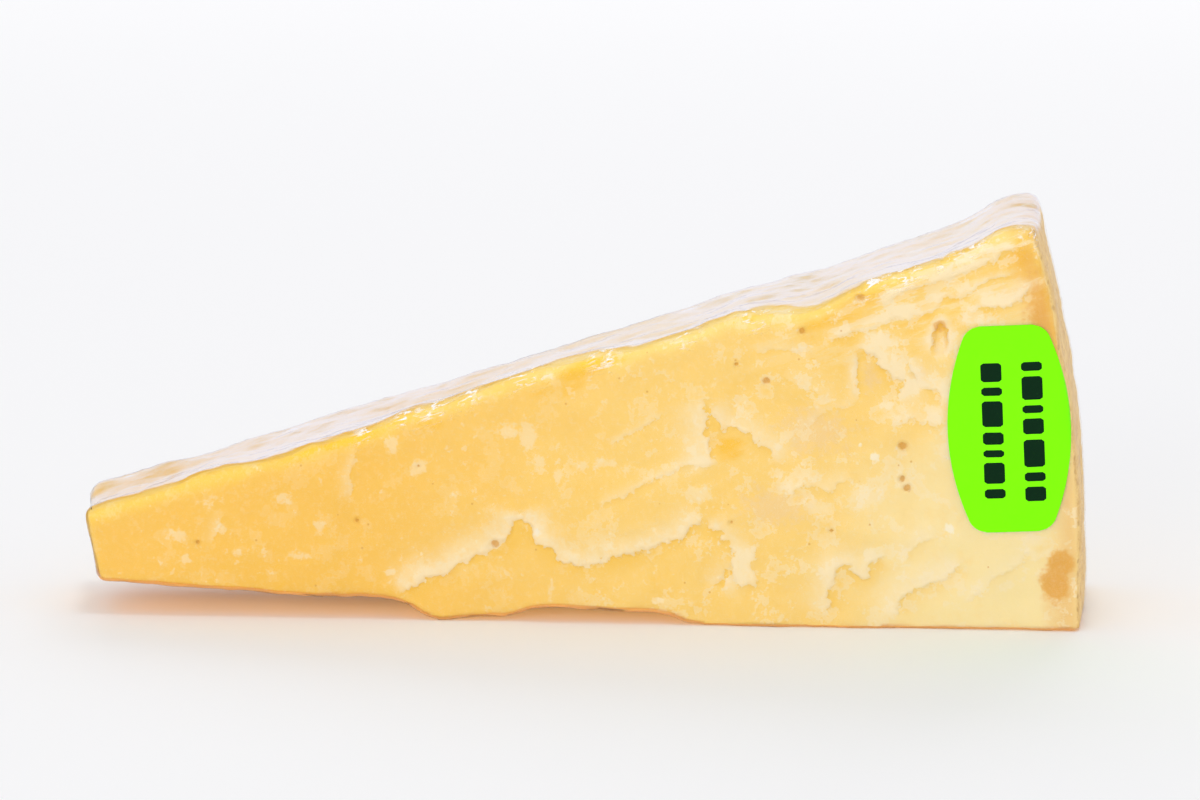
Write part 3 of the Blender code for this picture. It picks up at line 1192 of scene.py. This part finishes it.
@dataclass(frozen=True)
class Label:
    """The adhesive label on the film: barrel-shaped paper with plain blocks for its print."""

    paper: PaperFinish
    ink: PaperFinish
    width_mm: float = 21.9
    height_mm: float = 37.4
    end_width_mm: float = 13.6
    corner_mm: float = 2.2
    turn_deg: float = 2.7
    cell_mm: float = 0.35
    thickness_mm: float = 0.12
    gap_mm: float = 0.08
    column_mm: tuple[float, float] = (-2.9, 4.3)
    bar_width_mm: float = 3.7
    bar_gap_mm: float = 1.0
    bar_top_mm: float = 12.0
    bar_corner_mm: float = 0.5
    ink_lift_mm: float = 0.03
    ink_thickness_mm: float = 0.02
    bars_mm: tuple[tuple[float, ...], ...] = (
        (3.4, 1.5, 4.6, 2.2, 1.3, 3.8, 1.7),
        (1.6, 4.2, 1.4, 2.8, 5.0, 1.6, 2.6),
    )

    def centre(self) -> Vector:
        """The middle of the label's solid."""
        low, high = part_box("label")
        return (low + high) / 2

    def sheet(self, name: str, width: float, height: float) -> bpy.types.Object:
        """A flat gridded sheet that faces the front, about the origin.

        Args:
            name: The piece's name.
            width: Its width, in millimetres.
            height: Its height, in millimetres.

        Returns:
            The sheet.
        """
        bpy.ops.object.select_all(action="DESELECT")
        bpy.ops.mesh.primitive_grid_add(
            x_subdivisions=max(2, round(width / self.cell_mm)),
            y_subdivisions=max(2, round(height / self.cell_mm)),
            size=1.0,
            rotation=(math.radians(90.0), 0.0, 0.0),
        )
        piece = bpy.context.active_object
        piece.name = name
        piece.data.name = name
        piece.scale = (width * MM, height * MM, 1.0)
        bpy.ops.object.transform_apply(location=True, rotation=True, scale=True)
        return piece

    def barrel(self, points: Array) -> Array:
        """Draws a rectangle in to the barrel shape, with round corners.

        Args:
            points: The rectangle's points, in millimetres.

        Returns:
            The barrel's points, in millimetres.
        """
        across, up = points[:, 0] / (self.width_mm / 2), points[:, 2] / (self.height_mm / 2)
        bow = (self.width_mm - self.end_width_mm) / 2
        half = self.width_mm / 2 - bow * up**2
        corner_from = self.height_mm / 2 - self.corner_mm
        inner = np.clip((np.abs(points[:, 2]) - corner_from) / self.corner_mm, 0.0, 1.0)
        half = half - self.corner_mm * (1.0 - np.sqrt(1.0 - inner**2))
        shaped = points.copy()
        shaped[:, 0] = across * half
        return shaped

    def lay(self, piece: bpy.types.Object, film: BVHTree, lift_mm: float) -> None:
        """Turns a flat sheet to the label's lean, moves it to the front and lays it on the film.

        Args:
            piece: The flat sheet, about the origin.
            film: The film's surface.
            lift_mm: The sheet's height over the film.
        """
        centre = self.centre()
        turn = Euler((0.0, -math.radians(self.turn_deg), 0.0)).to_matrix()
        low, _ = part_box("parmesan_chunk")
        placed = []
        for point in points_mm(piece):
            spot = turn @ Vector(point) + centre / MM
            start = Vector((spot.x, low.y / MM - 20.0, spot.z)) * MM
            hit, _, _, _ = film.ray_cast(start, Vector((0.0, 1.0, 0.0)))
            depth = hit.y / MM if hit else centre.y / MM
            placed.append((spot.x, depth - lift_mm, spot.z))
        set_points_mm(piece, np.array(placed))

    def build(self, film: bpy.types.Object) -> list[Finished]:
        """Models and dresses the label's paper and its print.

        Args:
            film: The finished film.

        Returns:
            The paper and the print.
        """
        tree = BVHTree.FromObject(film, bpy.context.evaluated_depsgraph_get())
        paper = self.sheet("label_paper", self.width_mm, self.height_mm)
        set_points_mm(paper, self.barrel(points_mm(paper)))
        self.lay(paper, tree, self.gap_mm + self.thickness_mm)
        blocks = []
        for column, lengths in zip(self.column_mm, self.bars_mm):
            top = self.bar_top_mm
            for length in lengths:
                block = self.sheet("label_print", self.bar_width_mm, length)
                self.soften(block, length)
                set_points_mm(block, points_mm(block) + np.array([column, 0.0, top - length / 2]))
                blocks.append(block)
                top -= length + self.bar_gap_mm
        for block in blocks:
            self.lay(block, tree, self.gap_mm + self.thickness_mm + self.ink_lift_mm)
        bpy.ops.object.select_all(action="DESELECT")
        for block in blocks:
            block.select_set(True)
        bpy.context.view_layer.objects.active = blocks[0]
        bpy.ops.object.join()
        ink = blocks[0]
        ink.name = "label_print"
        apply_modifier(paper, "SOLIDIFY", thickness=self.thickness_mm * MM, offset=-1.0)
        apply_modifier(ink, "SOLIDIFY", thickness=self.ink_thickness_mm * MM, offset=-1.0)
        dress(paper, self.paper.material())
        dress(ink, self.ink.material())
        return [Finished(paper, "label", "label_paper"), Finished(ink, "label", "label_ink")]

    def soften(self, block: bpy.types.Object, length: float) -> None:
        """Rounds a block's corners.

        Args:
            block: The block, about the origin.
            length: Its length, in millimetres.
        """
        points = points_mm(block)
        radius = self.bar_corner_mm
        edge = np.clip((np.abs(points[:, 2]) - (length / 2 - radius)) / radius, 0.0, 1.0)
        half = self.bar_width_mm / 2
        points[:, 0] *= (half - radius * (1.0 - np.sqrt(1.0 - edge**2))) / half
        set_points_mm(block, points)


# --------------------------------------
# The studio


class Lamp(Enum):
    """The soft lights: where each stands, its size in metres and its power in watts."""

    ABOVE = ((0.05, -0.1, 1.0), 0.18, 1.0)
    FRONT = ((-0.35, -1.7, 0.25), 1.2, 11.0)
    BEHIND = ((0.0, 1.9, 1.25), 1.4, 12.2)


@dataclass(frozen=True)
class Studio:
    """A pale floor in soft light, and the camera."""

    aim: Vector = Vector((4.47 * MM, -19.4 * MM, 41.1 * MM))
    azimuth_deg: float = 4.5
    elevation_deg: float = 11.0
    distance: float = 1.1
    lens: float = 184.8
    floor_size: float = 8.0
    floor_colour: Colour = (0.95, 0.95, 0.955)
    sky_colour: Colour = (0.64, 0.645, 0.655)
    horizon_colour: Colour = (0.97, 0.955, 0.985)

    def floor(self) -> None:
        """The plain floor."""
        bpy.ops.object.select_all(action="DESELECT")
        bpy.ops.mesh.primitive_plane_add(size=self.floor_size)
        floor = bpy.context.active_object
        floor.name = "floor"
        nodes = Nodes(bpy.data.materials.new("floor"))
        shader = nodes.add("ShaderNodeBsdfDiffuse", {}, {"Color": self.floor_colour})
        floor.data.materials.append(nodes.finish(shader))

    def light(self, lamp: Lamp) -> None:
        """A square soft light that points at the wedge.

        Args:
            lamp: Which light.
        """
        place, size, power = lamp.value
        data = bpy.data.lights.new(lamp.name.lower(), "AREA")
        data.size = size
        data.energy = power
        light = bpy.data.objects.new(lamp.name.lower(), data)
        light.location = place
        light.visible_glossy = lamp is Lamp.ABOVE
        light.rotation_euler = (self.aim - light.location).to_track_quat("-Z", "Y").to_euler()
        bpy.context.scene.collection.objects.link(light)

    def sky(self) -> None:
        """Even white light from all round, brightest low down."""
        bpy.context.scene.world = bpy.data.worlds.new("studio")
        nodes = Nodes(bpy.context.scene.world)
        _, _, up = nodes.parts(nodes.add("ShaderNodeTexCoord").outputs["Generated"])
        colour = nodes.blend(up.step(0.2, 0.7), self.horizon_colour, self.sky_colour)
        shader = nodes.add("ShaderNodeBackground", {}, {"Color": colour})
        nodes.add("ShaderNodeOutputWorld", {}, {"Surface": shader.outputs[0]})

    def camera(self) -> None:
        """The camera, at its viewing angle."""
        azimuth, elevation = math.radians(self.azimuth_deg), math.radians(self.elevation_deg)
        back = Vector(
            (
                math.sin(azimuth) * math.cos(elevation),
                -math.cos(azimuth) * math.cos(elevation),
                math.sin(elevation),
            )
        )
        data = bpy.data.cameras.new("camera")
        data.lens = self.lens
        data.sensor_width = 36.0
        data.clip_start = 0.01
        camera = bpy.data.objects.new("camera", data)
        camera.location = self.aim + back * self.distance
        camera.rotation_euler = back.to_track_quat("Z", "Y").to_euler()
        bpy.context.scene.collection.objects.link(camera)
        bpy.context.scene.camera = camera

    def build(self) -> None:
        """Sets up the floor, the lights and the camera."""
        self.floor()
        for lamp in Lamp:
            self.light(lamp)
        self.sky()
        self.camera()
        bpy.context.scene.view_settings.view_transform = "Standard"
        log.info("studio: floor, lights and camera")


def main() -> None:
    """Builds the studio and every piece, in order."""
    logging.basicConfig(level=logging.INFO, format="%(name)s: %(message)s")
    Studio().build()
    cheese = Cheese(Wheel(), CheeseFinish()).build()
    film = Film(Wheel(), FilmFinish()).build()
    green = PaperFinish("label_paper", tone(124, 250, 0), glow=0.12)
    ink = PaperFinish("label_ink", tone(0, 40, 16))
    for finished in (cheese, film, *Label(green, ink).build(film.piece)):
        finished.hand_over()


if __name__ == "__main__":
    main()
